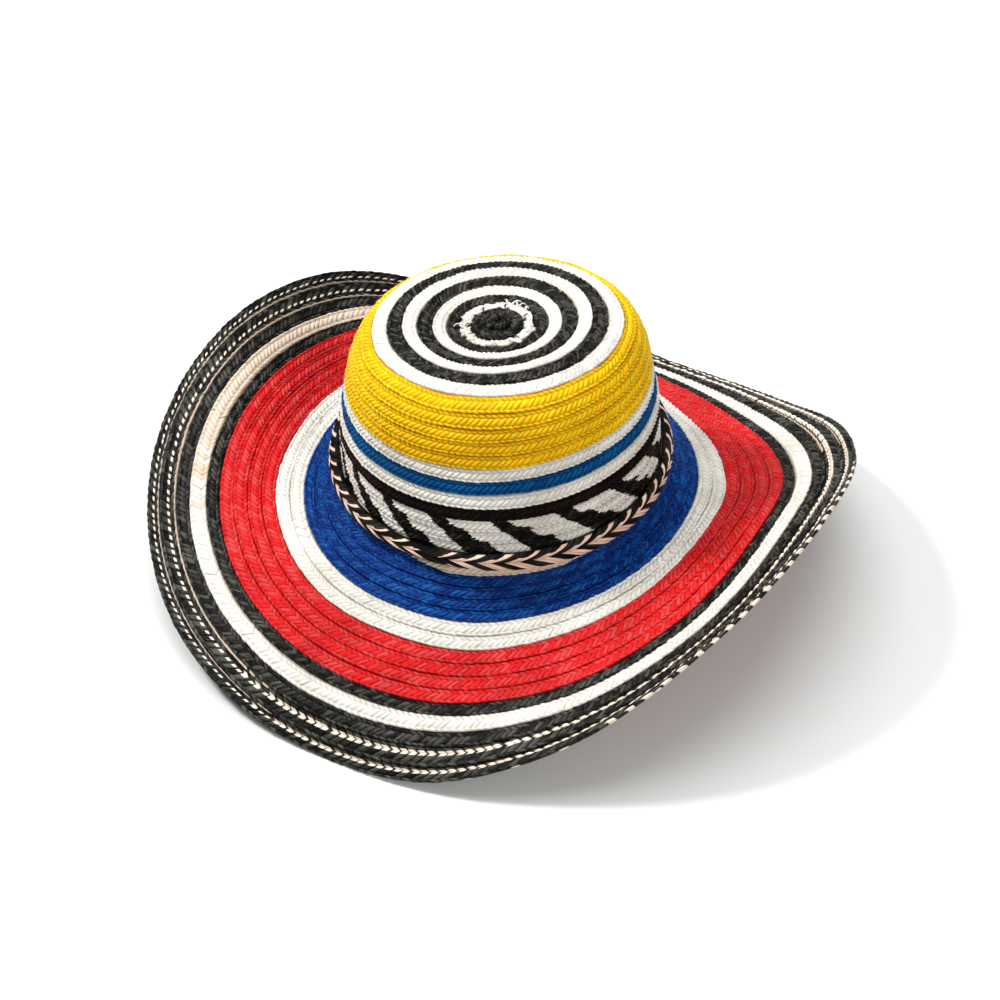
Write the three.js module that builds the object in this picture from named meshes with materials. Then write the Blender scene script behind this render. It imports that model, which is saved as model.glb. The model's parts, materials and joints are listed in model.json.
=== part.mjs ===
// A straw hat with a round crown and a wide brim that curls up at two sides and dips at the other two.
// It is one long flat braid of cane straw, coiled from the middle of the crown's top and sewn turn over turn,
// in runs of dyed and natural straw, with a plaited band round the foot of the crown.
// Lengths are in millimetres and +Z is up. The hat stands on the dips of its brim.
import * as THREE from 'three';

// Braid: each turn lies over the next one out, so its outer edge stands proud.
const braidThickness = 1.6;
const lapStep = 0.7;
const seamGap = 0.3;
const brimPitch = 8.3;

// Crown, measured on the middle of the braid's thickness, where it meets the brim
const crownWidth = 175.6;
const crownLength = 195.4;
const longAxisTurn = 6.5;
const topRadius = 68.3;
const rimHeight = 84.7;
const topBow = 2.2;
const crownLean = { x: 4.9, y: -1.4 };

// The rim of the crown's top has sunk by this much on one side, which is slumpTurn degrees from +X.
const crownSlump = 7;
const slumpTurn = 55;

// Button at the start of the coil, and the plaited hatband
const buttonRise = 2.6;
const buttonFlat = 0.62;
const bandHeight = 10;
const bandThickness = 5.5;
const bandDrop = 7;
const bandGap = 0.7;

// Number of flat faces that each turn goes round in
const crownFaces = 36;
const brimFaces = 52;

const straw = {
  natural: { color: 0xe9e2d3, roughness: 0.75 },
  white: { color: 0xf0ede6, roughness: 0.75 },
  black: { color: 0x2a2826, roughness: 0.6 },
  brown: { color: 0x2c1f1c, roughness: 0.6 },
  yellow: { color: 0xf0c010, roughness: 0.65 },
  azure: { color: 0x14609f, roughness: 0.6 },
  blue: { color: 0x123a86, roughness: 0.6 },
  red: { color: 0xd5282c, roughness: 0.65 },
};

// Turns on the crown's top, which is a little sunk in the middle. outer: outer edge as a share of topRadius;
// high: how far that edge is above the rim, as a share of topBow. The first row is the button.
const topRings = [
  { name: 'crown_button', dye: 'black', outer: 0.215, high: -1.5 },
  { name: 'top_white_ring_1', dye: 'natural', outer: 0.3, high: -1.4 },
  { name: 'top_black_ring_1', dye: 'black', outer: 0.405, high: -0.9 },
  { name: 'top_white_ring_2', dye: 'white', outer: 0.515, high: -0.25 },
  { name: 'top_black_ring_2', dye: 'black', outer: 0.64, high: 0.5 },
  { name: 'top_white_ring_3', dye: 'white', outer: 0.755, high: 1 },
  { name: 'top_black_ring_3', dye: 'black', outer: 0.875, high: 0.65 },
  { name: 'top_white_ring_4', dye: 'white', outer: 1, high: 0 },
];

// Runs of turns down the crown's side, from the top's rim to the brim
const sideRuns = [
  { name: 'crown_yellow', dye: 'yellow', turns: 5 },
  { name: 'crown_white_upper', dye: 'white', turns: 1 },
  { name: 'crown_blue', dye: 'azure', turns: 1 },
  { name: 'crown_white_lower', dye: 'white', turns: 1 },
  { name: 'crown_black', dye: 'brown', turns: 1 },
  { name: 'crown_pattern_band', dye: 'white', turns: 3 },
];

// Profile of the crown's side. turn: turns down from the rim; out: share of the way from topRadius to the
// crown's mean radius at the brim; high: share of rimHeight.
const sideProfile = [
  { turn: 0, out: 0, high: 1 },
  { turn: 1, out: 0.25, high: 0.925 },
  { turn: 2, out: 0.41, high: 0.84 },
  { turn: 3, out: 0.525, high: 0.765 },
  { turn: 4, out: 0.61, high: 0.685 },
  { turn: 5, out: 0.675, high: 0.6 },
  { turn: 6, out: 0.735, high: 0.515 },
  { turn: 8, out: 0.89, high: 0.34 },
  { turn: 12, out: 1, high: 0 },
];

// Runs of turns out over the brim. span: breadth of the run as a multiple of brimPitch.
const brimRuns = [
  { name: 'brim_white_inner', dye: 'natural', turns: 2, span: 1.45 },
  { name: 'brim_blue', dye: 'blue', turns: 4, span: 3.05 },
  { name: 'brim_white', dye: 'white', turns: 2, span: 1.9 },
  { name: 'brim_red', dye: 'red', turns: 4, span: 3.85 },
  { name: 'brim_black', dye: 'black', turns: 1, span: 0.85 },
  { name: 'brim_natural', dye: 'white', turns: 1, span: 1.15 },
  { name: 'brim_outer_1', dye: 'black', turns: 1, span: 1 },
  { name: 'brim_outer_2', dye: 'black', turns: 1, span: 1.3 },
  { name: 'brim_edge', dye: 'black', turns: 1, span: 0.95 },
];

// Where the slopes below are taken, as shares of the brim's breadth
const slopeStations = { wall: 0, fold: 0.13, inner: 0.26, middle: 0.52, outer: 0.77, edge: 1 };

// Slope of the brim going outwards, in degrees, on twelve lines from the crown. azimuth: from +X towards +Y.
const brimSlopes = [
  { azimuth: 0, wall: -80, fold: -60, inner: -25, middle: -5, outer: 15, edge: 20 },
  { azimuth: 30, wall: -80, fold: -55, inner: -40, middle: -25, outer: -10, edge: -25 },
  { azimuth: 60, wall: -80, fold: -40, inner: -40, middle: -35, outer: -25, edge: -30 },
  { azimuth: 90, wall: -80, fold: -25, inner: -30, middle: -25, outer: -15, edge: 10 },
  { azimuth: 120, wall: -80, fold: -50, inner: -15, middle: 15, outer: 25, edge: 35 },
  { azimuth: 150, wall: -80, fold: -60, inner: -5, middle: 35, outer: 30, edge: -15 },
  { azimuth: 180, wall: -80, fold: -55, inner: 0, middle: 15, outer: -5, edge: -35 },
  { azimuth: 210, wall: -80, fold: -40, inner: -15, middle: -10, outer: -20, edge: -35 },
  { azimuth: 240, wall: -80, fold: -20, inner: -35, middle: -20, outer: -35, edge: -55 },
  { azimuth: 270, wall: -80, fold: -75, inner: -30, middle: -15, outer: -10, edge: 0 },
  { azimuth: 300, wall: -80, fold: -85, inner: 0, middle: 0, outer: 15, edge: 45 },
  { azimuth: 330, wall: -80, fold: -80, inner: 5, middle: 15, outer: 20, edge: 40 },
];

const halfBraid = braidThickness / 2;
const meanRadius = (crownWidth + crownLength) / 4;
const ovalShare = (crownLength - crownWidth) / (crownLength + crownWidth);
const sideTurns = sideProfile.at(-1).turn;
const sidePitch = rimHeight / sideTurns;
const brimBreadth = brimPitch * brimRuns.reduce((sum, run) => sum + run.span, 0);

// Distances along the braid's face from the middle of the top: to the rim, and to the crown's foot
const rimAlong = topRadius;
const footAlong = rimAlong + sidePitch * sideTurns;

// The crown is oval at the foot, where it fits a head, and round at the top.
function ovalAt(azimuth, height) {
  const fromShortAxis = azimuth - THREE.MathUtils.degToRad(longAxisTurn);
  return 1 - ovalShare * (1 - height / rimHeight) * Math.cos(2 * fromShortAxis);
}

// A point of the crown. slump: share of the sinking that it takes part in
function crownPoint(radius, height, azimuth, slump) {
  const reach = radius * ovalAt(azimuth, height);
  const lean = height / rimHeight;
  const sunk = crownSlump * (0.5 + 0.5 * Math.cos(azimuth - THREE.MathUtils.degToRad(slumpTurn)));
  return new THREE.Vector3(
    reach * Math.cos(azimuth) + crownLean.x * lean,
    reach * Math.sin(azimuth) + crownLean.y * lean,
    height - sunk * slump,
  );
}

// The two neighbours in a rising list that a value lies between, and how far it is from one to the other
function placeBetween(list, value) {
  const passed = list.filter((item) => item < value).length;
  const next = THREE.MathUtils.clamp(passed, 1, list.length - 1);
  return { last: next - 1, next, share: (value - list[next - 1]) / (list[next] - list[next - 1]) };
}

// A point of the crown's top, radius out from its middle. The button stays level.
function topPoint(radius, azimuth) {
  const button = topRings[0].outer;
  const out = Math.max(radius / topRadius, button);
  const { last, next, share } = placeBetween(topRings.map((ring) => ring.outer), out);
  const high = THREE.MathUtils.lerp(topRings[last].high, topRings[next].high, share);
  return crownPoint(radius, rimHeight + topBow * high, azimuth, (out - button) / (1 - button));
}

// A point of the crown's side, so many turns down from the rim. Only the shoulder sinks with the rim.
function sidePoint(turn, azimuth) {
  const { last, next, share } = placeBetween(sideProfile.map((row) => row.turn), turn);
  const out = THREE.MathUtils.lerp(sideProfile[last].out, sideProfile[next].out, share);
  const high = THREE.MathUtils.lerp(sideProfile[last].high, sideProfile[next].high, share);
  const slump = Math.max(high, 0) ** 6;
  return crownPoint(THREE.MathUtils.lerp(topRadius, meanRadius, out), rimHeight * high, azimuth, slump);
}

// Slope of the brim at one station of the table and any azimuth, by a smooth closed curve through the rows
function slopeAtStation(station, azimuth) {
  const rows = brimSlopes.length;
  const place = ((azimuth / (2 * Math.PI)) * rows + rows) % rows;
  const row = Math.floor(place);
  const t = place - row;
  const [a, b, c, d] = [-1, 0, 1, 2].map((step) => brimSlopes[(row + step + rows) % rows][station]);
  const bend = -a + 3 * b - 3 * c + d;
  return THREE.MathUtils.degToRad(b + 0.5 * t * (c - a + t * (2 * a - 5 * b + 4 * c - d + t * bend)));
}

// A point of the brim, a distance out from the crown's foot along the braid. The slope changes evenly from
// one station to the next.
function brimPoint(distance, azimuth) {
  const slopes = Object.keys(slopeStations).map((name) => slopeAtStation(name, azimuth));
  const stations = Object.values(slopeStations).map((share) => share * brimBreadth);
  const steps = Math.ceil(distance / (brimPitch / 4));
  let reach = meanRadius * ovalAt(azimuth, 0);
  let height = 0;
  for (let i = 0; i < steps; i += 1) {
    const { last, next, share } = placeBetween(stations, ((i + 0.5) * distance) / steps);
    const slope = THREE.MathUtils.lerp(slopes[last], slopes[next], share);
    reach += (distance / steps) * Math.cos(slope);
    height += (distance / steps) * Math.sin(slope);
  }
  return new THREE.Vector3(reach * Math.cos(azimuth), reach * Math.sin(azimuth), height);
}

// A point in the middle of the braid's thickness, anywhere from the crown's top to the brim's edge
function braidPoint(along, azimuth) {
  if (along <= rimAlong) return topPoint(along, azimuth);
  if (along <= footAlong) return sidePoint((along - rimAlong) / sidePitch, azimuth);
  return brimPoint(along - footAlong, azimuth);
}

// A point moved off the middle of the braid's thickness along the outward normal, which is taken over the
// nearest quarter turns.
function offBraid(along, azimuth, offset) {
  const reach = brimPitch / 4;
  const turn = 0.02;
  const outwards = braidPoint(along + reach, azimuth).sub(braidPoint(along - reach, azimuth));
  const round = braidPoint(along, azimuth + turn).sub(braidPoint(along, azimuth - turn));
  return braidPoint(along, azimuth).addScaledVector(outwards.cross(round).normalize(), offset);
}

// A closed band: an outline of [along, offset] places on the braid, carried once round the hat
function bandGeometry(outline, faces) {
  const positions = [];
  for (let i = 0; i < faces; i += 1) {
    const azimuth = (i / faces) * 2 * Math.PI;
    for (const [along, offset] of outline) {
      positions.push(...offBraid(along, azimuth, offset).toArray());
    }
  }
  const indices = [];
  const count = outline.length;
  for (let i = 0; i < faces; i += 1) {
    for (let j = 0; j < count; j += 1) {
      const [a, b] = [i * count + j, i * count + ((j + 1) % count)];
      const [c, d] = [a, b].map((corner) => (corner + count) % (faces * count));
      indices.push(a, b, d, a, d, c);
    }
  }
  const geometry = new THREE.BufferGeometry();
  geometry.setAttribute('position', new THREE.Float32BufferAttribute(positions, 3));
  geometry.setIndex(indices);
  return geometry;
}

// Outline of a run of turns: a step at each turn's outer edge on the outside, and a plain inside.
// The seam gap keeps the run clear of its neighbours at both ends.
function runOutline(start, end, turns) {
  const edges = Array.from({ length: turns + 1 }, (_, i) => start + ((end - start) * i) / turns);
  edges[0] += seamGap / 2;
  edges[turns] -= seamGap / 2;
  const outside = [];
  for (let i = 0; i < turns; i += 1) {
    outside.push([edges[i], halfBraid], [edges[i + 1], halfBraid + lapStep]);
  }
  return [...outside, ...edges.map((edge) => [edge, -halfBraid]).reverse()];
}

function strawMesh(name, dye, geometry) {
  geometry.computeVertexNormals();
  const mesh = new THREE.Mesh(geometry, new THREE.MeshStandardMaterial({ ...straw[dye], metalness: 0 }));
  mesh.name = name;
  return mesh;
}

// The start of the coil, folded over itself into a low button with a flat top and a flat underside
function makeButton({ name, dye, outer }) {
  const radius = outer * topRadius - seamGap / 2;
  const profile = [
    new THREE.Vector2(0, -halfBraid),
    new THREE.Vector2(radius, -halfBraid),
    new THREE.Vector2(radius, halfBraid),
    new THREE.Vector2(radius * buttonFlat, buttonRise),
    new THREE.Vector2(0, buttonRise),
  ];
  const geometry = new THREE.LatheGeometry(profile, crownFaces);
  geometry.rotateX(Math.PI / 2);
  const mesh = strawMesh(name, dye, geometry);
  mesh.position.copy(topPoint(0, 0));
  return mesh;
}

// The coil: every run of turns after the button, each starting where the last one ends
function makeCoil() {
  const runs = [
    ...topRings.slice(1).map((ring, i) => (
      { ...ring, turns: 1, breadth: (ring.outer - topRings[i].outer) * topRadius, faces: crownFaces })),
    ...sideRuns.map((run) => ({ ...run, breadth: run.turns * sidePitch, faces: crownFaces })),
    ...brimRuns.map((run) => ({ ...run, breadth: run.span * brimPitch, faces: brimFaces })),
  ];
  let along = topRings[0].outer * topRadius;
  return runs.map(({ name, dye, turns, breadth, faces }) => {
    const outline = runOutline(along, along + breadth, turns);
    along += breadth;
    return strawMesh(name, dye, bandGeometry(outline, faces));
  });
}

// The hatband: a flat plait with rounded edges. It lies round the foot of the crown, and hangs bandDrop down
// over the start of the brim.
function makeBand() {
  const wall = halfBraid + lapStep + bandGap;
  const foot = footAlong + bandDrop;
  const top = foot - bandHeight;
  const outline = [
    [top, wall],
    [top, wall + bandThickness * 0.35],
    [top + bandHeight * 0.22, wall + bandThickness],
    [top + bandHeight * 0.78, wall + bandThickness],
    [foot, wall + bandThickness * 0.5],
    [foot - bandHeight * 0.12, wall],
  ];
  return strawMesh('hatband', 'black', bandGeometry(outline, crownFaces));
}

// Middle of the hat's mass, from the signed volume under each face
function middleOf(meshes) {
  const sum = new THREE.Vector3();
  let volume = 0;
  for (const mesh of meshes) {
    const position = mesh.geometry.getAttribute('position');
    const index = mesh.geometry.getIndex();
    for (let i = 0; i < index.count; i += 3) {
      const [a, b, c] = [0, 1, 2].map((corner) => (
        new THREE.Vector3().fromBufferAttribute(position, index.getX(i + corner)).add(mesh.position)));
      const part = a.dot(b.clone().cross(c)) / 6;
      volume += part;
      sum.addScaledVector(a.add(b).add(c), part / 4);
    }
  }
  return sum.divideScalar(volume);
}

// The level that the hat stands on: the plane through three corners of the brim's edge that has every other
// corner above it and the hat's middle over the triangle between them. Returns its upward normal.
function standingNormal(edge, middle) {
  const position = edge.geometry.getAttribute('position');
  const corners = Array.from({ length: position.count }, (_, i) => (
    new THREE.Vector3().fromBufferAttribute(position, i)));
  const low = corners.filter((corner) => corner.z < middle.z);
  const plane = new THREE.Plane();
  for (let i = 0; i < low.length; i += 1) {
    for (let j = i + 1; j < low.length; j += 1) {
      for (let k = j + 1; k < low.length; k += 1) {
        plane.setFromCoplanarPoints(low[i], low[j], low[k]);
        if (plane.normal.z < 0) plane.negate();
        if (corners.every((corner) => plane.distanceToPoint(corner) > -1e-4)) {
          const foot = plane.projectPoint(middle, new THREE.Vector3());
          if (new THREE.Triangle(low[i], low[j], low[k]).containsPoint(foot)) return plane.normal.clone();
        }
      }
    }
  }
  throw new Error('The hat has no place to stand.');
}

const pieces = [makeButton(topRings[0]), ...makeCoil(), makeBand()];
const edge = pieces.find((piece) => piece.name === brimRuns.at(-1).name);
const hat = new THREE.Group();
hat.add(...pieces);
hat.quaternion.setFromUnitVectors(standingNormal(edge, middleOf(pieces)), new THREE.Vector3(0, 0, 1));

// The hat's lowest point is on the origin's level, and the middle of its box is over the origin.
const object = new THREE.Group();
object.add(hat);
object.updateMatrixWorld(true);
const box = new THREE.Box3().setFromObject(object, true);
const centre = box.getCenter(new THREE.Vector3());
hat.position.set(-centre.x, -centre.y, -box.min.z);

export default object;
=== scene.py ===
import json
import math

import bpy
import numpy as np
from mathutils import Matrix, Vector


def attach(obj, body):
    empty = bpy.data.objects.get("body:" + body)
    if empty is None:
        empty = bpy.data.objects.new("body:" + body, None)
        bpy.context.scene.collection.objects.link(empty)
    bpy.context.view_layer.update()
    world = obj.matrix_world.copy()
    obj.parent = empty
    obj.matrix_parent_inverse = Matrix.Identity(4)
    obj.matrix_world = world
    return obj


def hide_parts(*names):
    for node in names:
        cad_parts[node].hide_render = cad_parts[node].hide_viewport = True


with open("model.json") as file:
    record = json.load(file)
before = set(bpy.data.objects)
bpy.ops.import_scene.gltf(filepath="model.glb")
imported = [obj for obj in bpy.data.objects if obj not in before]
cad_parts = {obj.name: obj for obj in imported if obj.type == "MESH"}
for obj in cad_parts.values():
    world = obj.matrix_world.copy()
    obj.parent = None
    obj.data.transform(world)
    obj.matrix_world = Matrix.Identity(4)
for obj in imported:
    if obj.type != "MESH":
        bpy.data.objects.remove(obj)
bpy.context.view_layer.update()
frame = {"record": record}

# CROWN TOP
# The start of the hat: a flat braid of cane straw, coiled outwards from the button in black and bleached
# turns. Each turn is stitched to the last one, which lies over its inner edge. The top has sunk a little in
# the middle and on one side.
mm = 0.001
full_turn = 2 * math.pi
top_radius = 68.3 * mm
rim_height = 84.7 * mm
top_bow = 2.2 * mm
crown_slump = 7 * mm
slump_turn = math.radians(55)
crown_lean = (4.9 * mm, -1.4 * mm)
crown_width = 175.6 * mm
crown_length = 195.4 * mm
long_axis_turn = math.radians(6.5)
mean_radius = (crown_width + crown_length) / 4
oval_share = (crown_length - crown_width) / (crown_length + crown_width)
button_rise = 2.6 * mm
strand_pitch = 3.6 * mm
top_strand_pitch = 2.8 * mm
strand_rise = 0.75 * mm

# Turns on the top. outer: outer edge as a share of the top's radius; high: height of that edge over the
# rim, as a share of the bow; fray: how far single strands stick out at the edges, in mm; slot: the record's
# finish, where it isn't the one of the dye's own name
top_turns = [
    {"node": "crown_button", "outer": 0.215, "high": -1.5},
    {"node": "top_white_ring_1", "dye": "white", "outer": 0.3, "high": -1.4, "fray": 0.9,
     "slot": "natural_straw"},
    {"node": "top_black_ring_1", "dye": "black", "outer": 0.405, "high": -0.9, "fray": 0.25},
    {"node": "top_white_ring_2", "dye": "white", "outer": 0.515, "high": -0.25, "fray": 0.1},
    {"node": "top_black_ring_2", "dye": "black", "outer": 0.64, "high": 0.5, "fray": 0.2},
    {"node": "top_white_ring_3", "dye": "white", "outer": 0.755, "high": 1.0, "fray": 0.1},
    {"node": "top_black_ring_3", "dye": "black", "outer": 0.875, "high": 0.65, "fray": 0.2},
    {"node": "top_white_ring_4", "dye": "white", "outer": 1.0, "high": 0.0, "fray": 0.1},
]
button_share = top_turns[0]["outer"]

# Lines across one turn of the braid, from under the last turn over its face to its outer edge and back
# beneath. across: share of the turn's width; lag: strands that the line runs ahead; lift: height in mm
# over the middle of the braid; crown: how full a strand stands there; zone: stretch of weave that the line
# belongs to
weave_lines = [
    {"across": -0.16, "lag": -0.30, "lift": -0.35, "crown": 0.0, "zone": "inner"},
    {"across": -0.02, "lag": 0.00, "lift": -0.15, "crown": 0.6, "zone": "inner"},
    {"across": 0.10, "lag": 0.25, "lift": 0.20, "crown": 1.0, "zone": "inner"},
    {"across": 0.20, "lag": 0.50, "lift": 0.40, "crown": 0.9, "zone": "inner"},
    {"across": 0.28, "lag": 0.72, "lift": 0.15, "crown": 0.0, "zone": "arm"},
    {"across": 0.34, "lag": 0.90, "lift": 0.50, "crown": 0.8, "zone": "arm"},
    {"across": 0.46, "lag": 0.62, "lift": 0.70, "crown": 1.0, "zone": "arm"},
    {"across": 0.60, "lag": 0.30, "lift": 0.80, "crown": 1.0, "zone": "arm"},
    {"across": 0.73, "lag": -0.02, "lift": 0.75, "crown": 0.8, "zone": "arm"},
    {"across": 0.80, "lag": -0.30, "lift": 0.45, "crown": 0.0, "zone": "edge"},
    {"across": 0.86, "lag": -0.32, "lift": 0.90, "crown": 0.9, "zone": "edge"},
    {"across": 0.96, "lag": 0.02, "lift": 1.00, "crown": 0.8, "zone": "edge"},
    {"across": 1.01, "lag": 0.10, "lift": 0.30, "crown": 0.3, "zone": "under"},
    {"across": 0.99, "lag": 0.10, "lift": -0.40, "crown": 0.0, "zone": "under"},
    {"across": 0.60, "lag": -0.40, "lift": -0.40, "crown": -0.5, "zone": "under"},
    {"across": 0.20, "lag": 0.40, "lift": -0.40, "crown": -0.5, "zone": "under"},
]
zone_order = ["inner", "arm", "edge", "under"]

# Height of a strand at four places from one side of it to the other, as shares of its rise
strand_section = np.array([0.0, 0.75, 1.0, 0.8])

# The hat rests tilted on its brim: its own upright is the axis of the mount on the button.
button_mount = next(m for m in frame["record"]["mounts"] if m["name"] == "crown_top")
upright = Vector(button_mount["axis"])
rest_turn = Vector((0, 0, 1)).rotation_difference(upright).to_matrix()
button_high = top_bow * top_turns[0]["high"]
button_top = Vector((*crown_lean, rim_height)) + Vector((0, 0, 1)) * (button_high + button_rise)
button_top.xy = button_top.xy * (1 + button_high / rim_height)
rest_shift = Vector(button_mount["pos_m"]) - rest_turn @ button_top


def at_rest(points):
    """Points of the upright hat, as it stands tilted on its brim."""
    return points @ np.array(rest_turn).T + np.array(rest_shift)


def crown_point(radius, height, azimuth, slump):
    """Points of the crown: oval at the foot, and round at the top, which leans and has sunk on one side."""
    lean = height / rim_height
    oval = 1 - oval_share * (1 - lean) * np.cos(2 * (azimuth - long_axis_turn))
    sunk = crown_slump * (0.5 + 0.5 * np.cos(azimuth - slump_turn))
    return np.stack([
        radius * oval * np.cos(azimuth) + crown_lean[0] * lean,
        radius * oval * np.sin(azimuth) + crown_lean[1] * lean,
        height - sunk * slump,
    ], axis=-1)


def top_point(radius, azimuth):
    """Points of the top, which is flat under the button and bowed, and sinks towards the rim."""
    out = np.maximum(radius / top_radius, button_share)
    high = np.interp(out, [turn["outer"] for turn in top_turns], [turn["high"] for turn in top_turns])
    slump = (out - button_share) / (1 - button_share)
    return crown_point(radius, rim_height + top_bow * high, azimuth, slump)


class Sheet:
    """The middle of the braid's thickness, with its outward normals, by distance and azimuth.

    Normals are taken over some steps to both sides, so that they turn smoothly over a bend.
    """

    step = 0.5 * mm
    reach = 4
    turn_steps = 720

    def __init__(self, point_at, start, end):
        self.start = start - self.reach * self.step
        self.along = np.arange(self.start, end + (self.reach + 2) * self.step, self.step)
        azimuth = np.arange(self.turn_steps) * full_turn / self.turn_steps
        self.points = point_at(*np.meshgrid(self.along, azimuth, indexing="ij"))
        row = np.arange(len(self.along))
        last, coming = np.maximum(row - self.reach, 0), np.minimum(row + self.reach, row[-1])
        outwards = self.points[coming] - self.points[last]
        round_hat = np.roll(self.points, -2, axis=1) - np.roll(self.points, 2, axis=1)
        normals = np.cross(outwards, round_hat)
        self.normals = normals / np.linalg.norm(normals, axis=-1, keepdims=True)

    def place(self, along, azimuth, height):
        """Points at a height over the sheet. The row stays short of the grid's last one."""
        row = np.clip((along - self.start) / self.step, 0, len(self.along) - 1.001)
        column = azimuth * self.turn_steps / full_turn
        i, j = np.floor(row).astype(int), np.floor(column).astype(int)
        s, t = (row - i)[..., None], (column - j)[..., None]
        j, k = j % self.turn_steps, (j + 1) % self.turn_steps

        def blend(grid):
            one = grid[i, j] * (1 - t) + grid[i, k] * t
            other = grid[i + 1, j] * (1 - t) + grid[i + 1, k] * t
            return one * (1 - s) + other * s

        return blend(self.points) + blend(self.normals) * height[..., None]


class Number:
    """A number inside a material. Sums and products of it add Math nodes."""

    def __init__(self, paint, socket):
        self.paint = paint
        self.socket = socket

    def math(self, operation, *others):
        inputs = dict(enumerate([self, *others]))
        return self.paint.number("ShaderNodeMath", {"operation": operation}, inputs)

    def __add__(self, other):
        return self.math("ADD", other)

    def __sub__(self, other):
        return self.math("SUBTRACT", other)

    def __rsub__(self, other):
        return self.paint.number("ShaderNodeMath", {"operation": "SUBTRACT"}, {0: other, 1: self})

    def __mul__(self, other):
        return self.math("MULTIPLY", other)

    __radd__ = __add__
    __rmul__ = __mul__


class Paint:
    """A material and its nodes. The names below are numbers of the Mix node's colour sockets."""

    one_colour = 6
    other_colour = 7
    mixed_colour = 2

    def __init__(self, name):
        self.material = bpy.data.materials.new(name)
        self.material.use_nodes = True
        self.tree = self.material.node_tree
        self.tree.nodes.clear()

    def node(self, kind, settings=None, inputs=None):
        """A node of a kind, with its settings, and the values or links of its sockets."""
        made = self.tree.nodes.new(kind)
        for key, value in (settings or {}).items():
            setattr(made, key, value)
        for key, value in (inputs or {}).items():
            if isinstance(value, Number):
                value = value.socket
            if isinstance(value, bpy.types.NodeSocket):
                self.tree.links.new(value, made.inputs[key])
            else:
                made.inputs[key].default_value = value
        return made

    def number(self, kind, settings=None, inputs=None):
        """The first result of such a node, as a number."""
        return Number(self, self.node(kind, settings, inputs).outputs[0])

    def mix(self, factor, one, other):
        """A colour between two others."""
        inputs = {0: factor, self.one_colour: one, self.other_colour: other}
        return self.node("ShaderNodeMix", {"data_type": "RGBA"}, inputs).outputs[self.mixed_colour]

    def ramp(self, value, low, high):
        """0 below low, 1 above high, and even between them."""
        inputs = {"Value": value, "From Min": low, "From Max": high}
        return self.number("ShaderNodeMapRange", {"clamp": True}, inputs)


def straw_paint(name, colour, pale, dark_tone_and_shade, roughness, depth=0.85, gloss=0.18):
    """Dyed cane: fine fibres along the strands, uneven dye, paler strands that in the black cane are painted
    glints, painted shade at the crossings, and painted shadow where a turn comes out from under the last one.

    The braid map counts strands along the braid, and zones of weave across it. depth: share of the dark
    colour that the painted shade at the crossings takes; gloss: specular level.
    """
    fibres_per_strand, fibre_waves, clouds_per_metre = 6.0, 1.3, 30.0
    colour, pale, dark_tone_and_shade = ((*shade, 1) for shade in (colour, pale, dark_tone_and_shade))
    paint = Paint(name)
    braid = paint.node("ShaderNodeUVMap", {"uv_map": "braid"}).outputs[0]
    split = paint.node("ShaderNodeSeparateXYZ", None, {0: braid})
    strand, line = Number(paint, split.outputs[0]), Number(paint, split.outputs[1])
    strand_and_zone = {0: strand.math("FLOOR"), 1: line.math("FLOOR")}
    stretch = paint.node("ShaderNodeCombineXYZ", None, strand_and_zone).outputs[0]
    chance = paint.number("ShaderNodeTexWhiteNoise", {"noise_dimensions": "2D"}, {"Vector": stretch})
    fibre_across = {0: strand * fibres_per_strand, 1: line * fibre_waves}
    fibre_at = paint.node("ShaderNodeCombineXYZ", None, fibre_across).outputs[0]
    fibre = paint.number("ShaderNodeTexNoise", {"noise_dimensions": "2D"},
                         {"Vector": fibre_at, "Scale": 1.0, "Detail": 3.0, "Roughness": 0.7})
    place = paint.node("ShaderNodeTexCoord").outputs["Object"]
    cloud = paint.number("ShaderNodeTexNoise", None,
                         {"Vector": place, "Scale": clouds_per_metre, "Detail": 4.0})

    # Painted shade: dark towards a strand's sides and a zone's ends, where strands cross, and painted shadow
    # where a turn comes out from under the last one
    beside = (strand.math("FRACT") - 0.5).math("ABSOLUTE")
    ending = (line.math("FRACT") - 0.5).math("ABSOLUTE")
    groove_shade = paint.ramp(beside, 0.24, 0.48).math("MAXIMUM", paint.ramp(ending, 0.4, 0.5))
    overlap_shadow = paint.ramp(line.math("MODULO", float(len(zone_order))), 0.6, 0.35)
    # Paler strands and fibres at random: uneven dye, and in the black cane painted glints
    pale_tone_and_glint = paint.mix(paint.ramp(chance * 0.6 + fibre * 0.9, 0.62, 1.1), colour, pale)
    shaded = paint.mix(paint.ramp(cloud + chance * 0.35 - fibre * 0.3, 0.35, 0.8) * 0.45, pale_tone_and_glint, dark_tone_and_shade)
    # The painted shade and painted shadow are mixed into the dye's colour
    colour_with_painted_shade = paint.mix((groove_shade * depth).math("MAXIMUM", overlap_shadow * 0.85), shaded, dark_tone_and_shade)
    bump = paint.node("ShaderNodeBump", None, {"Strength": 0.8, "Distance": 0.0006, "Height": fibre})
    surface = paint.node("ShaderNodeBsdfPrincipled", None, {
        "Base Color": colour_with_painted_shade,
        "Roughness": fibre * 0.3 + (roughness - 0.15),
        "Specular IOR Level": gloss,
        "Normal": bump.outputs[0],
    })
    paint.node("ShaderNodeOutputMaterial", None, {"Surface": surface.outputs[0]})
    return paint.material


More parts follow.
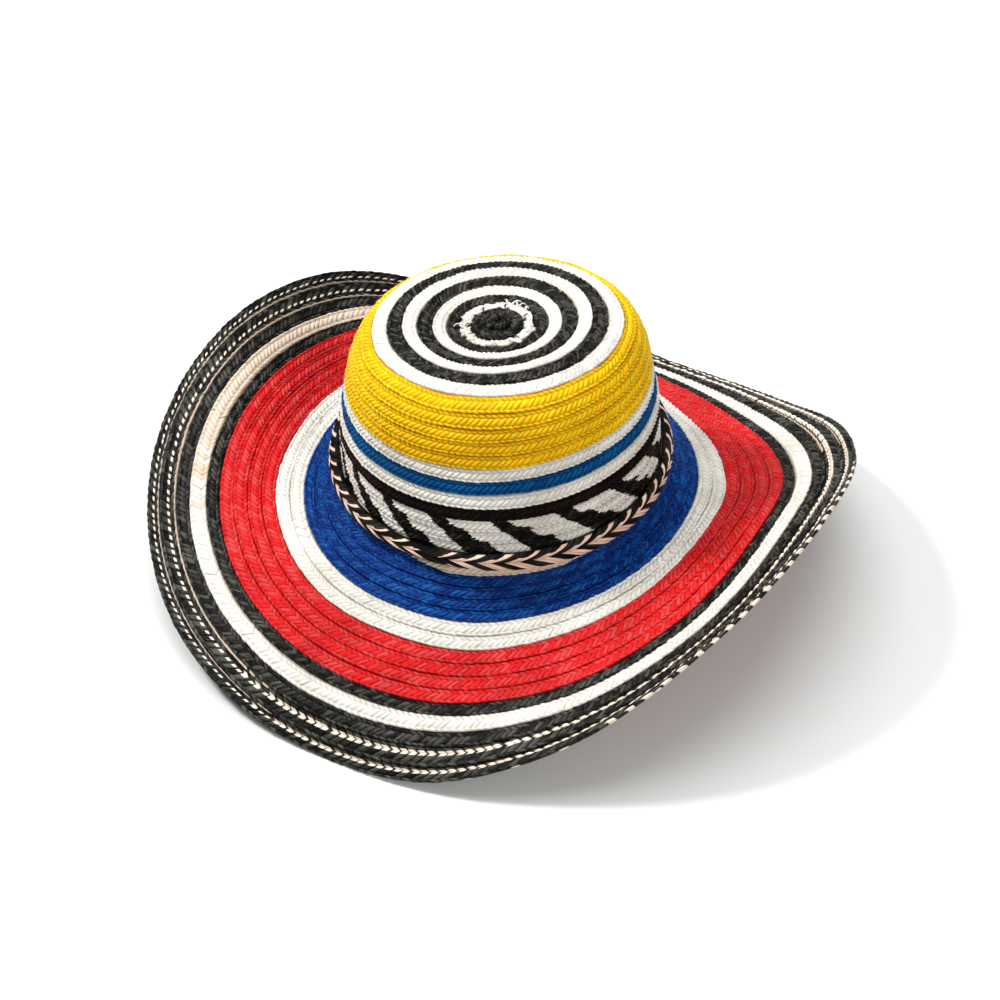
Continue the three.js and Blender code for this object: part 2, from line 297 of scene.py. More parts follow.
# Each dye's dark colour is both its uneven darker tone and the painted shade at its crossings
near_black = (0.0003, 0.0003, 0.0003)
dyes = {
    "natural": straw_paint("natural_cane", colour=(0.74, 0.62, 0.50), pale=(0.88, 0.80, 0.70),
                           dark_tone_and_shade=(0.36, 0.25, 0.17), roughness=0.5, depth=0.6),
    "white": straw_paint("bleached_cane", colour=(0.80, 0.77, 0.71), pale=(0.90, 0.89, 0.85),
                         dark_tone_and_shade=(0.33, 0.30, 0.24), roughness=0.5, depth=0.5),
    # The black cane's pale grey is painted glint: paler strands and fibres stand in for the lights' shine on
    # the strands.
    "black": straw_paint("black_cane", colour=(0.005, 0.0045, 0.004), pale=(0.15, 0.142, 0.117),
                         dark_tone_and_shade=near_black, roughness=0.26, depth=1, gloss=0.2),
}


def grid_mesh(name, layers, materials):
    """One mesh from grids of strands.

    A layer has its points by line and column, whether it closes round the hat, its faces' dyes as numbers of
    the materials, and its place in the braid map: the strand of each column, and where each line's faces
    start and end.
    """
    corners, faces, dye_numbers, maps = [], [], [], []
    base = 0
    for layer in layers:
        points = layer["points"]
        lines, columns = points.shape[:2]
        numbers = base + np.arange(lines * columns).reshape(lines, columns)
        base += lines * columns
        corners.append(points.reshape(-1, 3))
        around = columns if layer["closed"] else columns - 1
        i, j = np.meshgrid(np.arange(len(layer["from"])), np.arange(around), indexing="ij")
        k, m = (i + 1) % lines, (j + 1) % columns
        quads = np.stack([numbers[i, j], numbers[k, j], numbers[k, m], numbers[i, m]], -1)
        faces.append(quads.reshape(-1, 4))
        dye_numbers.append(np.broadcast_to(layer["dye"], points.shape[:2])[i, j].reshape(-1))
        u0, u1 = layer["strand"][j], layer["strand"][j] + 1 / len(strand_section)
        v0, v1 = layer["from"][i], layer["to"][i]
        maps.append(np.stack([u0, v0, u0, v1, u1, v1, u1, v0], -1).reshape(-1, 2))
    corners, faces = np.concatenate(corners), np.concatenate(faces)
    mesh = bpy.data.meshes.new(name)
    mesh.vertices.add(len(corners))
    mesh.vertices.foreach_set("co", at_rest(corners).astype(np.float32).ravel())
    mesh.loops.add(faces.size)
    mesh.loops.foreach_set("vertex_index", faces.astype(np.int32).ravel())
    mesh.polygons.add(len(faces))
    mesh.polygons.foreach_set("loop_start", np.arange(0, faces.size, 4, dtype=np.int32))
    for material in materials:
        mesh.materials.append(material)
    mesh.polygons.foreach_set("material_index", np.concatenate(dye_numbers).astype(np.int32))
    braid_map = mesh.uv_layers.new(name="braid")
    braid_map.data.foreach_set("uv", np.concatenate(maps).astype(np.float32).ravel())
    mesh.update(calc_edges=True)
    mesh.shade_smooth()
    mesh.validate()
    piece = bpy.data.objects.new(name, mesh)
    bpy.context.scene.collection.objects.link(piece)
    return piece


def column_of(lines, key):
    """One value of each line, as a column."""
    return np.array([line[key] for line in lines], float)[:, None]


# How uneven the weave is: the whole braid's wander to the sides and swell, and the height of single strands,
# in mm; their fullness, as a share; and their place along the braid, in strands. Waves start anywhere in a
# full turn. In the braid map a zone of weave ends just short of the next whole number.
wander_spread = 0.12
swell_spread = 0.08
height_spread = 0.05
fullness_spread = 0.2
place_spread = 0.09
latest_start = 6.28
zone_fill = 0.999


def woven_turn(sheet, inner, outer, index, dice, pitch=strand_pitch, rise=strand_rise, fray=0.1, chart=None):
    """One turn of the braid between two distances along the sheet.

    A chart takes the place of each face in the weave, and gives its dye as a number: 0, or 1 for the other.
    """
    stations = 90
    station_at = np.arange(stations) * full_turn / stations
    middle = sheet.place(np.full(stations, (inner + outer) / 2), station_at, np.zeros(stations))
    length = np.linalg.norm(middle - np.roll(middle, 1, axis=0), axis=1).sum()
    strands = max(12, round(length / pitch))
    section = len(strand_section)
    column = np.arange(strands * section)
    strand = column / section
    across, lag, lift, crown = (column_of(weave_lines, key) for key in ("across", "lag", "lift", "crown"))

    def each(values):
        return np.repeat(values, section)[None]

    def wave(spread, times):
        return dice.normal(0, spread) * np.sin(times * around + dice.uniform(0, latest_start))

    around = full_turn * strand / strands
    wander = sum(wave(wander_spread, times) for times in (2, 3, 5, 9))
    swell = sum(wave(swell_spread, times) for times in (3, 7, 13))
    body = np.tile(strand_section, strands) * (1 + each(dice.normal(0, fullness_spread, strands)))
    azimuth = full_turn * (strand + lag + each(dice.normal(0, place_spread, strands))) / strands
    stray = each(dice.normal(0, fray, strands)) * (2 * np.abs(across - 0.5)) ** 3
    along = inner + across * (outer - inner) + (wander + stray) * mm
    height = (lift + swell + each(dice.normal(0, height_spread, strands))) * mm + crown * body * rise
    zones = np.array([zone_order.index(line["zone"]) for line in weave_lines])
    starts = np.array([np.flatnonzero(zones == zone)[0] for zone in zones])
    counts = np.array([(zones == zone).sum() for zone in zones])
    start = len(zone_order) * index + zones + (np.arange(len(zones)) - starts) / counts * zone_fill
    dye = np.zeros((1, 1), int)
    if chart:
        centre = (azimuth + np.roll(azimuth, -1, axis=0)) / 2 + math.pi / strands / section
        dye = chart({
            "zone": zones[:, None], "side": column % section, "strand": np.floor(strand), "index": index,
            "across": (across + np.roll(across, -1, axis=0)) / 2, "azimuth": centre % full_turn,
            "chance": each(dice.uniform(0, 1, strands)),
        })
    return {
        "points": sheet.place(along, azimuth, height),
        "closed": True,
        "dye": dye.astype(int),
        "strand": strand + 1000 * index,
        "from": start,
        "to": start + zone_fill / counts,
    }


def weave(node, dye, sheet, edges, slot, extra=(), other_dyes=(), **options):
    """A run of turns as one woven piece, in place of the plain band."""
    dice = np.random.default_rng(sum(map(ord, node)))
    turns = zip(edges, edges[1:])
    layers = [woven_turn(sheet, *sides, index, dice, **options) for index, sides in enumerate(turns)]
    materials = [dyes[dye], *(dyes[other] for other in other_dyes)]
    piece = grid_mesh("woven_" + node, [*layers, *extra], materials)
    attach(piece, "root")
    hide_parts(node)


def loose_end(sheet, radius, azimuth, reach, bend, dye):
    """A cut end of a strand that sticks out of the braid and curls. It narrows to its tip."""
    half_width, narrowing, first_number = 0.5, 0.6, 7000
    share = np.linspace(0, 1, 7)[:, None]
    side = np.linspace(-1, 1, 4)[None]
    turn = bend * share
    x = reach * np.sin(turn) / bend
    y = reach * (1 - np.cos(turn)) / bend
    width = half_width * mm * (1 - narrowing * share ** 2)
    along = radius + x - side * width * np.sin(turn)
    sideways = y + side * width * np.cos(turn)
    height = (1.5 + 1.0 * np.sin(math.pi * share) + 0.3 * (1 - side ** 2)) * mm
    start = share[:-1, 0] * 0.9 + 1.05
    return {
        "points": sheet.place(along, azimuth + sideways / along, height),
        "closed": False,
        "dye": np.full((1, 1), dye),
        "strand": first_number + round(azimuth * 40) + np.arange(4) / 4,
        "from": start,
        "to": start + 0.14,
    }


def worn_start(at):
    """The first white turn has black strands worked in where it starts."""
    return (at["chance"] < 0.16) & (at["across"] < 0.3) | (at["chance"] > 0.93) & (at["across"] > 0.6)


# Where the cut ends stick out, in degrees: pale ones at the first white turn's outer edge, and black ones at
# the button's
pale_ends_at = (28, 36, 43, 50, 58, 66, 75, 160, 172, 181, 188, 196, 207, 225, 262, 290, 325, 345)
black_ends_at = (14, 70, 118, 176, 214, 231, 300)

top_sheet = Sheet(top_point, 0.5 * mm, top_radius)
dice = np.random.default_rng(11)
loose_ends = [
    loose_end(top_sheet, top_radius * dice.uniform(0.26, 0.29), math.radians(degrees) + dice.normal(0, 0.05),
              dice.uniform(3.0, 6.0) * mm, dice.choice([-1, 1]) * dice.uniform(0.9, 2.6), dye=0)
    for degrees in pale_ends_at
]
loose_ends += [
    loose_end(top_sheet, top_radius * dice.uniform(0.19, 0.22), math.radians(degrees),
              dice.uniform(3.0, 5.0) * mm, dice.choice([-1, 1]) * dice.uniform(0.4, 1.6), dye=1)
    for degrees in black_ends_at
]
for inner, turn in zip(top_turns, top_turns[1:]):
    edges = [inner["outer"] * top_radius, turn["outer"] * top_radius]
    slot = turn.get("slot", turn["dye"] + "_straw")
    options = {"fray": turn["fray"], "pitch": top_strand_pitch}
    if turn["node"] == "top_white_ring_1":
        options.update(extra=loose_ends, other_dyes=["black"], chart=worn_start)
    weave(turn["node"], turn["dye"], top_sheet, edges, slot, **options)

# BUTTON
# The first stretch of the braid, in black cane, is wound once round and then folded over itself in the
# middle, so that two short ribbed lengths of it lie side by side. It is sewn to the first white turn.
button_radius = button_share * top_radius

# Lines across a short length of the braid, with the values that the turns' lines have. lift: share of the
# length's own; map: where the line's faces start and end in the braid map
plait_lines = [
    {"across": 0.00, "lag": -0.2, "lift": -0.2, "crown": 0.0, "map": (1.02, 1.2)},
    {"across": 0.10, "lag": 0.10, "lift": 0.7, "crown": 0.8, "map": (1.2, 1.45)},
    {"across": 0.28, "lag": 0.35, "lift": 1.1, "crown": 1.0, "map": (1.45, 1.7)},
    {"across": 0.45, "lag": 0.60, "lift": 1.1, "crown": 0.5, "map": (1.7, 1.99)},
    {"across": 0.50, "lag": 0.70, "lift": 0.9, "crown": 0.1, "map": (2.0, 2.1)},
    {"across": 0.55, "lag": 0.60, "lift": 1.1, "crown": 0.5, "map": (2.1, 2.4)},
    {"across": 0.72, "lag": 0.35, "lift": 1.1, "crown": 1.0, "map": (2.4, 2.7)},
    {"across": 0.90, "lag": 0.10, "lift": 0.7, "crown": 0.8, "map": (2.7, 2.98)},
    {"across": 1.00, "lag": -0.2, "lift": -0.2, "crown": 0.0},
]

# The flat black disc that closes the top under the folded lengths
disc_hole = 0.3 * mm
disc_radius = 14.9 * mm
disc_columns = 96
disc_lift = 0.4 * mm


def short_plait(path, strands, breadth, lift_mm, rise_mm, number):
    """A short length of the braid along a path over the button, lower at its ends.

    The path gives x, y and height for shares of its length.
    """
    section = len(strand_section)
    phase = np.arange(strands * section + 1) / section
    across, lag, lift, crown = (column_of(plait_lines, key) for key in ("across", "lag", "lift", "crown"))
    share = np.clip((phase + lag) / strands, 0, 1)
    x, y, high = path(share)
    dx, dy, _ = (after - before for after, before in zip(path(share + 0.01), path(share - 0.01)))
    run = np.hypot(dx, dy)
    aside = (across - 0.5) * breadth
    x, y = x - dy / run * aside, y + dx / run * aside
    away_from_ends = np.clip(share, 0.03, 0.97)
    swollen = np.sqrt(np.clip(np.sin(math.pi * away_from_ends) * 1.6, 0, 1))
    body = np.resize(strand_section, len(phase))
    height = ((lift * lift_mm + crown * body * rise_mm) * swollen) * mm + high
    maps = np.array([line["map"] for line in plait_lines[:-1]])
    return {
        "points": top_sheet.place(np.maximum(np.hypot(x, y), disc_hole), np.arctan2(y, x), height),
        "closed": False,
        "dye": np.zeros((1, 1), int),
        "strand": phase + 100 * number,
        "from": maps[:, 0],
        "to": maps[:, 1],
    }


def wound(share):
    """The length that is wound once round."""
    azimuth = math.radians(70) - full_turn * 1.15 * share
    radius = button_radius - 3.1 * mm - 2.6 * mm * share
    return radius * np.cos(azimuth), radius * np.sin(azimuth), (0.3 + 1.0 * share) * mm


def upper_fold(share):
    """The length that lies across the middle, from the right to the left."""
    x = (5.5 - 12.5 * share) * mm
    return x, (4.6 - 5.2 * share + 2.2 * np.sin(math.pi * share)) * mm, 1.9 * mm + 0 * share


def lower_fold(share):
    """The length in front of it, from the left to the right."""
    x = (-7.2 + 14.5 * share) * mm
    return x, (-1.6 - 2.6 * np.sin(math.pi * share) + 1.2 * share) * mm, (1.0 + 0.8 * share) * mm


disc_rows = np.linspace(disc_hole, disc_radius, 7)
disc_round = np.arange(disc_columns) * full_turn / disc_columns
disc_out, disc_azimuth = np.meshgrid(disc_rows, disc_round, indexing="ij")
disc = {
    "points": top_sheet.place(disc_out, disc_azimuth, np.full(disc_out.shape, disc_lift)),
    "closed": True,
    "dye": np.zeros((1, 1), int),
    "strand": np.arange(disc_columns) / len(strand_section),
    "from": np.linspace(0, 1.8, 6),
    "to": np.linspace(0.3, 2.1, 6),
}
button = grid_mesh("folded_crown_button", [
    disc,
    short_plait(wound, strands=24, breadth=7.0 * mm, lift_mm=1.3, rise_mm=0.9, number=1),
    short_plait(upper_fold, strands=7, breadth=5.4 * mm, lift_mm=1.7, rise_mm=1.4, number=2),
    short_plait(lower_fold, strands=8, breadth=5.0 * mm, lift_mm=1.7, rise_mm=1.4, number=3),
], [dyes["black"]])
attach(button, "root")
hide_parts("crown_button")

# CROWN SIDE
# The same braid goes on down the side, turn under turn: five yellow turns round the shoulder, one each of
# white, blue, white and brown-black, and three with figures woven in black on white, which slant down to
# the right.
side_turns = 12
side_pitch = rim_height / side_turns
side_strand_pitch = 3.3 * mm

# The side's outline. turn: turns down from the rim; out: share of the way from the top's radius to the
# foot's; high: share of the rim's height
side_profile = [
    {"turn": 0, "out": 0.0, "high": 1.0},
    {"turn": 1, "out": 0.25, "high": 0.925},
    {"turn": 2, "out": 0.41, "high": 0.84},
    {"turn": 3, "out": 0.525, "high": 0.765},
    {"turn": 4, "out": 0.61, "high": 0.685},
    {"turn": 5, "out": 0.675, "high": 0.6},
    {"turn": 6, "out": 0.735, "high": 0.515},
    {"turn": 8, "out": 0.89, "high": 0.34},
    {"turn": 12, "out": 1.0, "high": 0.0},
]
side_runs = [
    {"node": "crown_yellow", "dye": "yellow", "slot": "yellow_straw", "turns": 5},
    {"node": "crown_white_upper", "dye": "white", "slot": "white_straw", "turns": 1},
    {"node": "crown_blue", "dye": "azure", "slot": "azure_straw", "turns": 1},
    {"node": "crown_white_lower", "dye": "white", "slot": "white_straw", "turns": 1},
    {"node": "crown_black", "dye": "brown", "slot": "brown_straw", "turns": 1},
    {"node": "crown_pattern_band", "dye": "white", "slot": "white_straw", "turns": 3},
]
dyes["yellow"] = straw_paint("yellow_cane", colour=(0.92, 0.54, 0.0005), pale=(0.98, 0.80, 0.01),
                             dark_tone_and_shade=(0.38, 0.15, 0.0003), roughness=0.36, depth=0.62)
dyes["azure"] = straw_paint("azure_cane", colour=(0.0003, 0.085, 0.25), pale=(0.001, 0.17, 0.40),
                            dark_tone_and_shade=(0.0003, 0.015, 0.06), roughness=0.42, gloss=0.12)
dyes["brown"] = straw_paint("brown_black_cane", colour=(0.008, 0.005, 0.003), pale=(0.03, 0.016, 0.010),
                            dark_tone_and_shade=(0.0005, 0.0005, 0.0005), roughness=0.4, depth=1, gloss=0.1)
dyes["ink"] = straw_paint("ink_black_cane", colour=(0.004, 0.004, 0.003), pale=(0.06, 0.05, 0.04),
                          dark_tone_and_shade=near_black, roughness=0.4, depth=1, gloss=0.12)

# Below the foot the sheet goes on, by shares of the side's flare and of the rim's height, so that the last
# turn keeps its slope. The slump fades out quickly down the side.
foot_flare = 0.11
foot_drop = 0.34
slump_fade = 6

# The figures: how many go round, where one starts, how far a figure's left side runs to the right in each
# turn, its breadth at the top and what each turn adds, its spike at a turn's edge, and its ragged outline
figure_turn = full_turn / 17
figure_start = math.radians(262.6)
figure_slant = math.radians(5.2)
figure_breadth = math.radians(6.8)
figure_growth = math.radians(7.5)
figure_spike = math.radians(1.4)
figure_rag = math.radians(0.6)


def side_point(along, azimuth):
    """Points of the side by the distance down from the rim. Over the rim they lie on the top."""
    turn = np.maximum(along / side_pitch, 0)
    turns = [row["turn"] for row in side_profile]
    out = np.interp(turn, turns, [row["out"] for row in side_profile])
    high = np.interp(turn, turns, [row["high"] for row in side_profile])
    beyond = np.maximum(turn - side_turns, 0) / (turns[-1] - turns[-2])
    out, high = out + beyond * foot_flare, high - beyond * foot_drop
    radius = top_radius + (mean_radius - top_radius) * out
    side = crown_point(radius, rim_height * high, azimuth, np.maximum(high, 0) ** slump_fade)
    return np.where((along < 0)[..., None], top_point(top_radius + np.minimum(along, 0), azimuth), side)


def figures(at):
    """Black slanting figures, smooth on the left and stepped on the right, with a spike in each turn."""
    across = np.clip(at["across"], 0, 1)
    depth = at["index"] + across
    left = figure_slant * depth
    step = at["index"] + across ** 1.7
    spiked = at["zone"] >= zone_order.index("edge")
    right = figure_breadth + figure_growth * step + figure_spike * spiked
    ragged = np.sin(at["strand"] * 12.9 + at["index"] * 4.1) * figure_rag
    within = np.mod(at["azimuth"] - figure_start - left, figure_turn)
    return within < right - left + ragged


side_sheet = Sheet(side_point, 0, rim_height)
along = 0
for run in side_runs:
    edges = along + np.arange(run["turns"] + 1) * side_pitch
    along = edges[-1]
    options = {"pitch": side_strand_pitch}
    if run["node"] == "crown_pattern_band":
        options.update(other_dyes=["ink"], chart=figures)
    weave(run["node"], run["dye"], side_sheet, edges, run["slot"], **options)

# BRIM
# The braid turns out over the brim: two narrow white turns under the plait, four blue, two white, four red,
# one black, one white, and three black ones, the last two with pale strands. The brim dips at two sides and
# curls up at the others.
brim_pitch = 8.3 * mm

# Runs of the brim. span: breadth of the whole run, as a share of the braid's own
brim_runs = [
    {"node": "brim_white_inner", "dye": "natural", "slot": "natural_straw", "turns": 2, "span": 1.45},
    {"node": "brim_blue", "dye": "blue", "slot": "blue_straw", "turns": 4, "span": 3.05},
    {"node": "brim_white", "dye": "white", "slot": "white_straw", "turns": 2, "span": 1.9},
    {"node": "brim_red", "dye": "red", "slot": "red_straw", "turns": 4, "span": 3.85},
    {"node": "brim_black", "dye": "black", "slot": "black_straw", "turns": 1, "span": 0.85},
    {"node": "brim_natural", "dye": "white", "slot": "white_straw", "turns": 1, "span": 1.15},
    {"node": "brim_outer_1", "dye": "black", "slot": "black_straw", "turns": 1, "span": 1.0},
    {"node": "brim_outer_2", "dye": "black", "slot": "black_straw", "turns": 1, "span": 1.3},
    {"node": "brim_edge", "dye": "black", "slot": "black_straw", "turns": 1, "span": 0.95},
]
dyes["blue"] = straw_paint("blue_cane", colour=(0.001, 0.036, 0.22), pale=(0.01, 0.17, 0.58),
                           dark_tone_and_shade=(0.0003, 0.004, 0.03), roughness=0.34, depth=0.75)
dyes["red"] = straw_paint("red_cane", colour=(0.70, 0.012, 0.014), pale=(0.95, 0.10, 0.10),
                          dark_tone_and_shade=(0.14, 0.001, 0.002), roughness=0.38, depth=0.68)
dyes["pale"] = straw_paint("pale_cane", colour=(0.85, 0.74, 0.62), pale=(0.93, 0.88, 0.80),
                           dark_tone_and_shade=(0.35, 0.24, 0.16), roughness=0.45, depth=0.6)
brim_breadth = brim_pitch * sum(run["span"] for run in brim_runs)

# Slope of the brim going outwards, in degrees, at six shares of its breadth on twelve lines from +X
# towards +Y
slope_stations = [0, 0.13, 0.26, 0.52, 0.77, 1]
brim_slopes = [
    {"azimuth": 0, "wall": -80, "fold": -60, "inner": -25, "middle": -5, "outer": 15, "edge": 20},
    {"azimuth": 30, "wall": -80, "fold": -55, "inner": -40, "middle": -25, "outer": -10, "edge": -25},
    {"azimuth": 60, "wall": -80, "fold": -40, "inner": -40, "middle": -35, "outer": -25, "edge": -30},
    {"azimuth": 90, "wall": -80, "fold": -25, "inner": -30, "middle": -25, "outer": -15, "edge": 10},
    {"azimuth": 120, "wall": -80, "fold": -50, "inner": -15, "middle": 15, "outer": 25, "edge": 35},
    {"azimuth": 150, "wall": -80, "fold": -60, "inner": -5, "middle": 35, "outer": 30, "edge": -15},
    {"azimuth": 180, "wall": -80, "fold": -55, "inner": 0, "middle": 15, "outer": -5, "edge": -35},
    {"azimuth": 210, "wall": -80, "fold": -40, "inner": -15, "middle": -10, "outer": -20, "edge": -35},
    {"azimuth": 240, "wall": -80, "fold": -20, "inner": -35, "middle": -20, "outer": -35, "edge": -55},
    {"azimuth": 270, "wall": -80, "fold": -75, "inner": -30, "middle": -15, "outer": -10, "edge": 0},
    {"azimuth": 300, "wall": -80, "fold": -85, "inner": 0, "middle": 0, "outer": 15, "edge": 45},
    {"azimuth": 330, "wall": -80, "fold": -80, "inner": 5, "middle": 15, "outer": 20, "edge": 40},
]


def brim_point(along, azimuth):
    """Points of the brim: its slope runs evenly between stations, and smoothly from line to line."""
    columns = [key for key in brim_slopes[0] if key != "azimuth"]
    table = np.array([[row[key] for key in columns] for row in brim_slopes], float)
    rows = len(table)
    line = azimuth[0] / full_turn * rows
    row = np.floor(line).astype(int)
    t = (line - row)[:, None]
    a, b, c, d = (table[(row + step) % rows] for step in (-1, 0, 1, 2))
    at_station = b + 0.5 * t * (c - a + t * (2 * a - 5 * b + 4 * c - d + t * (3 * b - 3 * c + d - a)))
    station = np.array(slope_stations) * brim_breadth
    out = np.maximum(along, 0)
    step = np.diff(out, axis=0, prepend=0)
    halfway = out[:, 0] - step[:, 0] / 2
    slope = np.radians(np.stack([np.interp(halfway, station, slopes) for slopes in at_station], axis=1))
    foot = mean_radius * (1 - oval_share * np.cos(2 * (azimuth - long_axis_turn)))
    radius = foot + np.cumsum(step * np.cos(slope), axis=0)
    high = np.cumsum(step * np.sin(slope), axis=0)
    brim = np.stack([radius * np.cos(azimuth), radius * np.sin(azimuth), high], -1)
    side = side_point(rim_height + np.minimum(along, 0), azimuth)
    return np.where((along < 0)[..., None], side, brim)


def unbleached_stretch(at):
    """The white turn near the edge was joined from a darker straw at the back left."""
    degrees = np.degrees(at["azimuth"])
    return (degrees > 105) & (degrees < 168 + 28 * at["chance"])


def pale_chevrons(at):
    """Pale strands on black: arms of the weave, which show only as dots, under a thin line, on the left."""
    degrees = np.degrees(at["azimuth"])
    left = (degrees > 100) & (degrees < 215 + 15 * at["chance"])
    middle_columns = (at["side"] == 1) | (at["side"] == 2)
    line = (at["across"] < 0.1) & (at["zone"] == zone_order.index("inner"))
    arms = (at["across"] > 0.16) & (at["across"] < 0.47) & (middle_columns | (at["side"] == 0) & ~left)
    dots = (at["across"] > 0.35) & (at["across"] < 0.45) & middle_columns
    return line & left | np.where(left, dots, arms) | line & (degrees < 60)


def pale_rim(at):
    """The last turn has the same strands, and some ends of them show round the very edge."""
    degrees = np.degrees(at["azimuth"])
    on_edge = at["zone"] == zone_order.index("edge")
    round_edge = (at["zone"] == zone_order.index("under")) & (at["across"] > 0.75)
    often = (degrees > 280) & (degrees < 350) & (at["strand"] % 2 == 0)
    seldom = (degrees > 225) & (degrees < 290) & (at["strand"] % 5 == 0)
    return pale_chevrons(at) | (round_edge | on_edge & often) & (often | seldom)


def blue_for_plait_shadow(at):
    """The white turn under the plait shows only in front: elsewhere its second turn is blue, painted shade
    for the shadow gap under the plait.
    """
    degrees = np.degrees(at["azimuth"])
    white_from, white_to, taper = 228, 307, 22
    white = np.minimum(degrees - white_from, white_to - degrees) / taper
    return (at["index"] == 1) & (at["across"] > white)


# Runs with other dyes in them. The braid of the last two is coarser.
brim_charts = {
    # The blue in the inner white run is painted shade under the plait
    "brim_white_inner": {"other_dyes": ["blue"], "chart": blue_for_plait_shadow},
    "brim_natural": {"other_dyes": ["natural"], "chart": unbleached_stretch},
    "brim_outer_2": {"other_dyes": ["pale"], "chart": pale_chevrons, "pitch": 5.3 * mm, "rise": 0.9 * mm},
    "brim_edge": {"other_dyes": ["pale"], "chart": pale_rim, "pitch": 5.3 * mm, "rise": 0.8 * mm},
}

# The sheet starts over the foot, where the hatband lies.
brim_sheet = Sheet(brim_point, -6 * mm, brim_breadth)
along = 0
for run in brim_runs:
    edges = along + np.linspace(0, 1, run["turns"] + 1) * run["span"] * brim_pitch
    along = edges[-1]
    weave(run["node"], run["dye"], brim_sheet, edges, run["slot"], **brim_charts.get(run["node"], {}))

# HATBAND
# A flat plait of thick strands, two pale ones to two black, laid round the foot of the crown. The strands
# meet in the middle and fold back at both edges, and the plait's ends are tucked in at the left front.
band_height = 10 * mm
band_thickness = 5.5 * mm
band_drop = 7 * mm
half_braid, turn_lap, band_gap = 0.8, 0.7, 0.7
band_wall = (half_braid + turn_lap + band_gap) * mm
band_strands = 172
band_relief = 0.5

# Lines down the plait, from its top edge at the wall to its lower edge at the wall. down: share of its
# height; out: share of its thickness; lag: strands that the line runs ahead; crown: how full a strand stands;
# map: where the line's faces start and end in the braid map
band_lines = [
    {"down": 0.06, "out": 0.00, "lag": 3.2, "crown": 0.0, "map": (1.02, 1.15)},
    {"down": 0.00, "out": 0.38, "lag": 3.3, "crown": 0.5, "map": (1.15, 1.3)},
    {"down": 0.06, "out": 0.66, "lag": 2.8, "crown": 0.9, "map": (1.3, 1.5)},
    {"down": 0.15, "out": 0.82, "lag": 2.1, "crown": 1.0, "map": (1.5, 1.7)},
    {"down": 0.25, "out": 0.90, "lag": 1.2, "crown": 1.0, "map": (1.7, 1.85)},
    {"down": 0.35, "out": 0.88, "lag": 0.4, "crown": 0.8, "map": (1.85, 1.98)},
    {"down": 0.40, "out": 0.80, "lag": 0.0, "crown": 0.2, "map": (2.02, 2.15)},
    {"down": 0.45, "out": 0.88, "lag": 0.4, "crown": 0.8, "map": (2.15, 2.3)},
    {"down": 0.58, "out": 0.92, "lag": 1.3, "crown": 1.0, "map": (2.3, 2.5)},
    {"down": 0.76, "out": 0.88, "lag": 2.2, "crown": 1.0, "map": (2.5, 2.7)},
    {"down": 0.92, "out": 0.70, "lag": 3.0, "crown": 0.9, "map": (2.7, 2.85)},
    {"down": 1.00, "out": 0.40, "lag": 3.3, "crown": 0.5, "map": (2.85, 2.98)},
    {"down": 0.90, "out": 0.00, "lag": 3.1, "crown": 0.0},
]
dyes["plait_pale"] = straw_paint("pale_plait_cane", colour=(0.86, 0.62, 0.48), pale=(0.95, 0.82, 0.70),
                                 dark_tone_and_shade=(0.35, 0.16, 0.10), roughness=0.4, depth=0.5)
tuck_at = math.radians(246)
tuck_width = math.radians(4)
tuck_rise = 0.8

dice = np.random.default_rng(29)
section = len(strand_section)
strand = np.arange(band_strands * section) / section
down, out, lag, crown = (column_of(band_lines, key) for key in ("down", "out", "lag", "crown"))
drift = np.repeat(dice.normal(0, 0.08, band_strands), section)
azimuth = full_turn * (strand + lag + drift) / band_strands
tuck = np.exp(-((azimuth % full_turn - tuck_at) / tuck_width) ** 2)
fullness = 1 + np.repeat(dice.normal(0, 0.15, band_strands), section)
relief = crown * (np.tile(strand_section, band_strands) * fullness) * band_relief * mm
swelling = tuck * (crown > 0) * tuck_rise * mm
down_wall = np.broadcast_to(band_drop - band_height * (1 - down), azimuth.shape)

# Of four strands two are pale: one over the whole face, and one short of both edges
number = np.floor(strand) % 4
on_face = (out > 0.2) & (down < 0.98)
pale_strands = (number == 1) | (number == 0) & (down > 0.08) & (down < 0.78)
maps = np.array([line["map"] for line in band_lines[:-1]])
plait = {
    "points": brim_sheet.place(down_wall, azimuth, band_wall + out * band_thickness + relief + swelling),
    "closed": True,
    "dye": (pale_strands & on_face & (tuck < 0.4)).astype(int),
    "strand": strand,
    "from": maps[:, 0],
    "to": maps[:, 1],
}
band = grid_mesh("plaited_hatband", [plait], [dyes["ink"], dyes["plait_pale"]])
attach(band, "root")
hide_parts("hatband")

# FLOOR, LIGHT AND CAMERA
# A plain pale floor with a faint cloud in its paint, and three lights: a small key light at the upper left,
# a broad one overhead and a weak one in front. The camera looks down on the hat from in front.
floor_half = 12
floor_corners = [(-floor_half, -floor_half, 0), (floor_half, -floor_half, 0),
                 (floor_half, floor_half, 0), (-floor_half, floor_half, 0)]
floor_paint = Paint("pale_floor")
floor_place = floor_paint.node("ShaderNodeTexCoord").outputs["Object"]
floor_noise = floor_paint.number("ShaderNodeTexNoise", None, {"Vector": floor_place, "Scale": 3.0})
floor_colour = floor_paint.mix(floor_noise * 0.2, (0.75, 0.76, 0.75, 1), (0.73, 0.74, 0.73, 1))
floor_surface = floor_paint.node("ShaderNodeBsdfPrincipled", None,
                                 {"Base Color": floor_colour, "Roughness": 0.9})
floor_paint.node("ShaderNodeOutputMaterial", None, {"Surface": floor_surface.outputs[0]})
floor_mesh = bpy.data.meshes.new("pale_floor")
floor_mesh.from_pydata(floor_corners, [], [(0, 1, 2, 3)])
floor_mesh.materials.append(floor_paint.material)
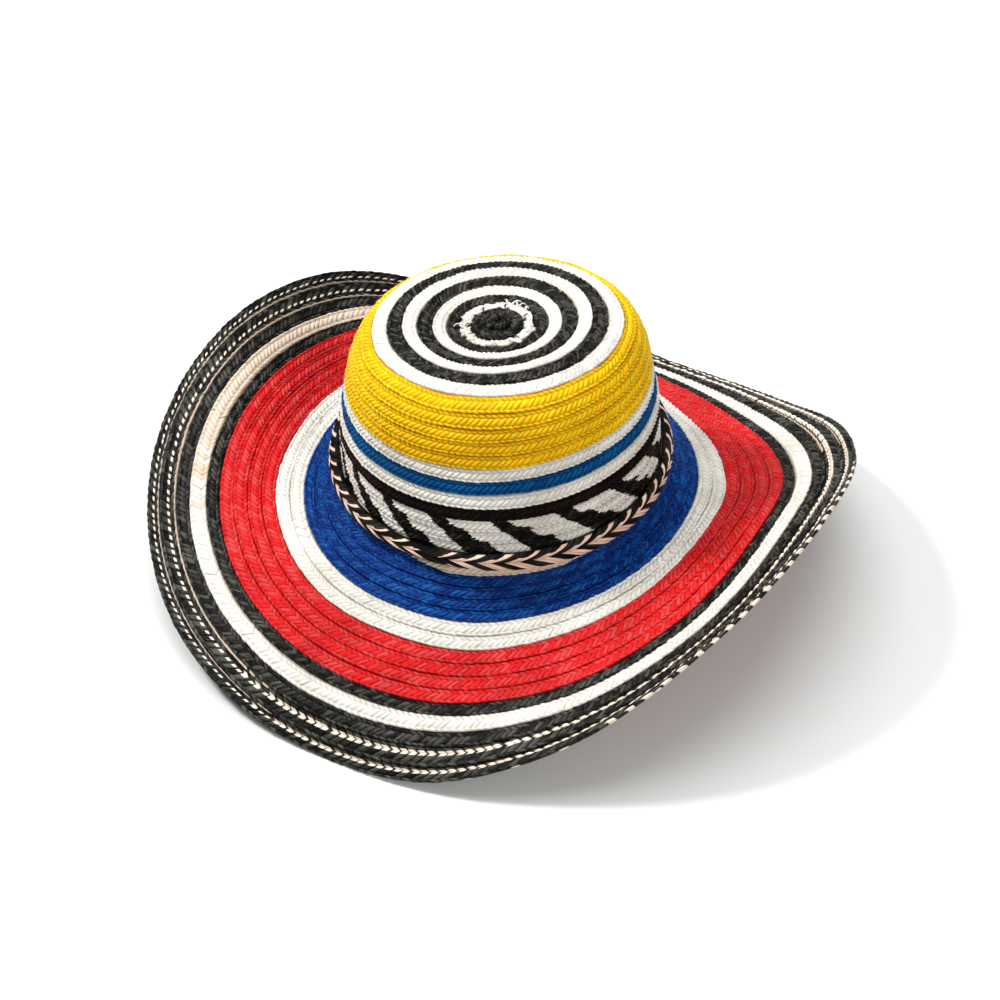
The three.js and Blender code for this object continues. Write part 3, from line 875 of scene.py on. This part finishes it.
floor = bpy.data.objects.new("pale_floor", floor_mesh)
bpy.context.scene.collection.objects.link(floor)

surroundings = bpy.data.worlds.new("studio")
surroundings.use_nodes = True
surroundings.node_tree.nodes["Background"].inputs["Color"].default_value = (1, 1, 1, 1)
surroundings.node_tree.nodes["Background"].inputs["Strength"].default_value = 0.26
bpy.context.scene.world = surroundings


def soft_light(name, place, aim_height, size, power):
    """A round light, turned to a point over the middle of the floor."""
    aim = (0, 0, aim_height)
    data = bpy.data.lights.new(name, "AREA")
    data.shape = "DISK"
    data.size = size
    data.energy = power
    light = bpy.data.objects.new(name, data)
    light.location = place
    light.rotation_euler = (Vector(aim) - Vector(place)).to_track_quat("-Z", "Y").to_euler()
    bpy.context.scene.collection.objects.link(light)


soft_light("key_light", place=(-1.1, 0.4, 1.6), aim_height=0.05, size=0.4, power=27)
soft_light("top_light", place=(0.1, 0.45, 2.0), aim_height=0.05, size=2.0, power=29)
soft_light("front_light", place=(0.5, -1.4, 0.95), aim_height=0.08, size=0.7, power=11)

camera_aim = Vector((-3.5, -71.8, 88.5)) * mm
camera_heading = math.radians(2.62)
camera_elevation = math.radians(39.96)
camera_roll = math.radians(-1.5)
camera_distance = 1.6
camera_lens = 107.2
camera_sensor = 36
forward = Vector((
    math.sin(camera_heading) * math.cos(camera_elevation),
    math.cos(camera_heading) * math.cos(camera_elevation),
    -math.sin(camera_elevation),
))
level = forward.cross(Vector((0, 0, 1))).normalized()
over = level.cross(forward)
right = level * math.cos(camera_roll) + over * math.sin(camera_roll)
camera_data = bpy.data.cameras.new("camera")
camera_data.lens = camera_lens
camera_data.sensor_width = camera_sensor
camera = bpy.data.objects.new("camera", camera_data)
axes = Matrix((right, right.cross(forward), -forward)).transposed()
camera.matrix_world = Matrix.Translation(camera_aim - forward * camera_distance) @ axes.to_4x4()
bpy.context.scene.collection.objects.link(camera)
bpy.context.scene.camera = camera
bpy.context.scene.view_settings.view_transform = "Standard"
bpy.context.scene.view_settings.look = "Medium High Contrast"
